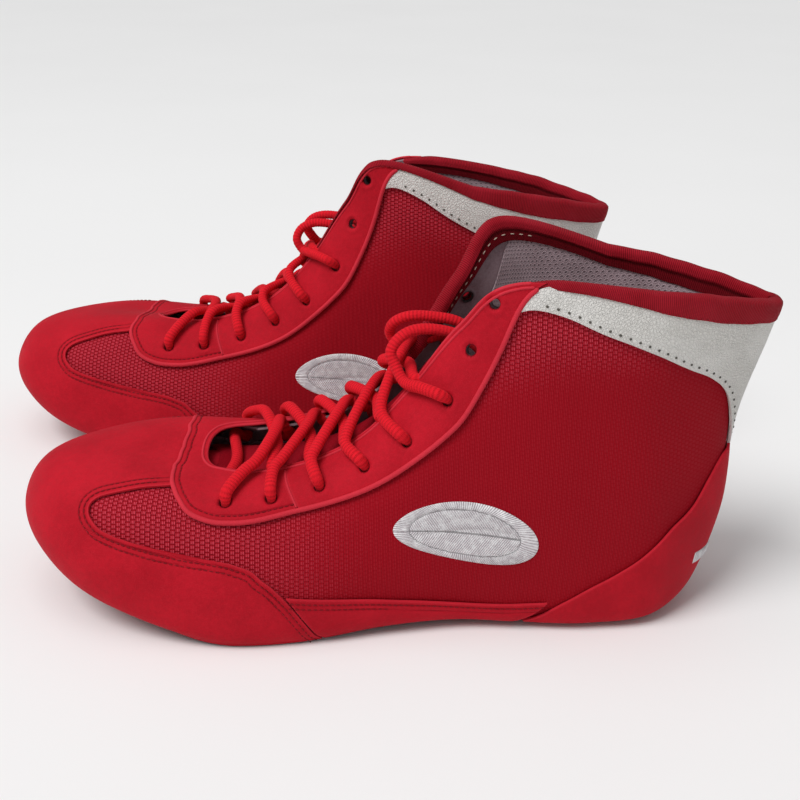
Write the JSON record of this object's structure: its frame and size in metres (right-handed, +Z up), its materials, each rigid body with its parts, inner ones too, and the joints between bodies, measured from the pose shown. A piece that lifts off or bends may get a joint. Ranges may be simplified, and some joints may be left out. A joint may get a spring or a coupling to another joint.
{
  "type": "laced ankle boots",
  "caption": "Laced ankle boots with thin flat soles, woven mesh quarters, smooth red overlays, a white collar panel and a bound topline.",
  "frame": {"origin": "on the floor, at the centre of the pair's footprint", "axes": "+X from the toes towards the heels, +Y from the left boot towards the right boot, +Z up"},
  "size_m": [0.3594, 0.2659, 0.1582],
  "materials": {
    "suede_red": "matte suede-like microfibre with a soft sheen",
    "mesh_red": "woven textile mesh, matte with small glints",
    "lace_red": "tubular ribbed lace",
    "white_leather": "pebbled white leather, satin",
    "binding_red": "ribbed grosgrain tape",
    "tongue_mesh": "dark red padded mesh",
    "lining": "perforated grey-lilac lining",
    "facing": "smooth light synthetic facing",
    "embroidery": "silver-white satin stitch",
    "aglet": "clear red film",
    "board": "fibre board",
    "rubber_red": "thin gum rubber, matte",
    "thread_red": "sewing thread",
    "thread_light": "sewing thread"
  },
  "bodies": {
    "left_boot": {"left_outsole": "rubber_red", "left_forefoot_tread": "rubber_red", "left_heel_tread": "rubber_red", "left_lasting_board": "board", "left_sock_liner": "lining", "left_toe_puff": "board", "left_heel_stiffener": "board", "left_toe_cap": "suede_red", "left_lateral_quarter": "mesh_red", "left_medial_quarter": "mesh_red", "left_throat_piece": "suede_red", "left_lateral_eyestay": "suede_red", "left_medial_eyestay": "suede_red", "left_lateral_facing": "facing", "left_medial_facing": "facing", "left_lateral_side_band": "suede_red", "left_medial_side_band": "suede_red", "left_heel_counter": "suede_red", "left_collar_panel": "white_leather", "left_collar_binding": "binding_red", "left_vamp_lining": "lining", "left_quarter_lining": "lining", "left_lace": "lace_red", "left_aglets": "aglet", "left_lateral_badge": "embroidery", "left_medial_badge": "embroidery", "left_heel_bar": "white_leather"},
    "left_tongue": {"left_tongue": "tongue_mesh", "left_tongue_binding": "binding_red"},
    "right_boot": {"right_outsole": "rubber_red", "right_forefoot_tread": "rubber_red", "right_heel_tread": "rubber_red", "right_lasting_board": "board", "right_sock_liner": "lining", "right_toe_puff": "board", "right_heel_stiffener": "board", "right_toe_cap": "suede_red", "right_lateral_quarter": "mesh_red", "right_medial_quarter": "mesh_red", "right_throat_piece": "suede_red", "right_lateral_eyestay": "suede_red", "right_medial_eyestay": "suede_red", "right_lateral_facing": "facing", "right_medial_facing": "facing", "right_lateral_side_band": "suede_red", "right_medial_side_band": "suede_red", "right_heel_counter": "suede_red", "right_collar_panel": "white_leather", "right_collar_binding": "binding_red", "right_vamp_lining": "lining", "right_quarter_lining": "lining", "right_lace": "lace_red", "right_aglets": "aglet", "right_lateral_badge": "embroidery", "right_medial_badge": "embroidery", "right_heel_bar": "white_leather"},
    "right_tongue": {"right_tongue": "tongue_mesh", "right_tongue_binding": "binding_red"}
  },
  "joints": [
    {"name": "left_tongue_fold", "type": "hinge", "parent": "left_boot", "child": "left_tongue", "pos_m": [-0.05044, -0.07905, 0.052], "axis": [0, 1, 0], "range_deg": [0, 12]},
    {"name": "right_boot_apart", "type": "slide", "parent": "left_boot", "child": "right_boot", "axis": [0, 1, 0], "range_m": [0, 0.15]},
    {"name": "right_tongue_fold", "type": "hinge", "parent": "right_boot", "child": "right_tongue", "pos_m": [-0.09934, 0.07988, 0.052], "axis": [0.0958, 0.9954, 0], "range_deg": [0, 12]}
  ]
}
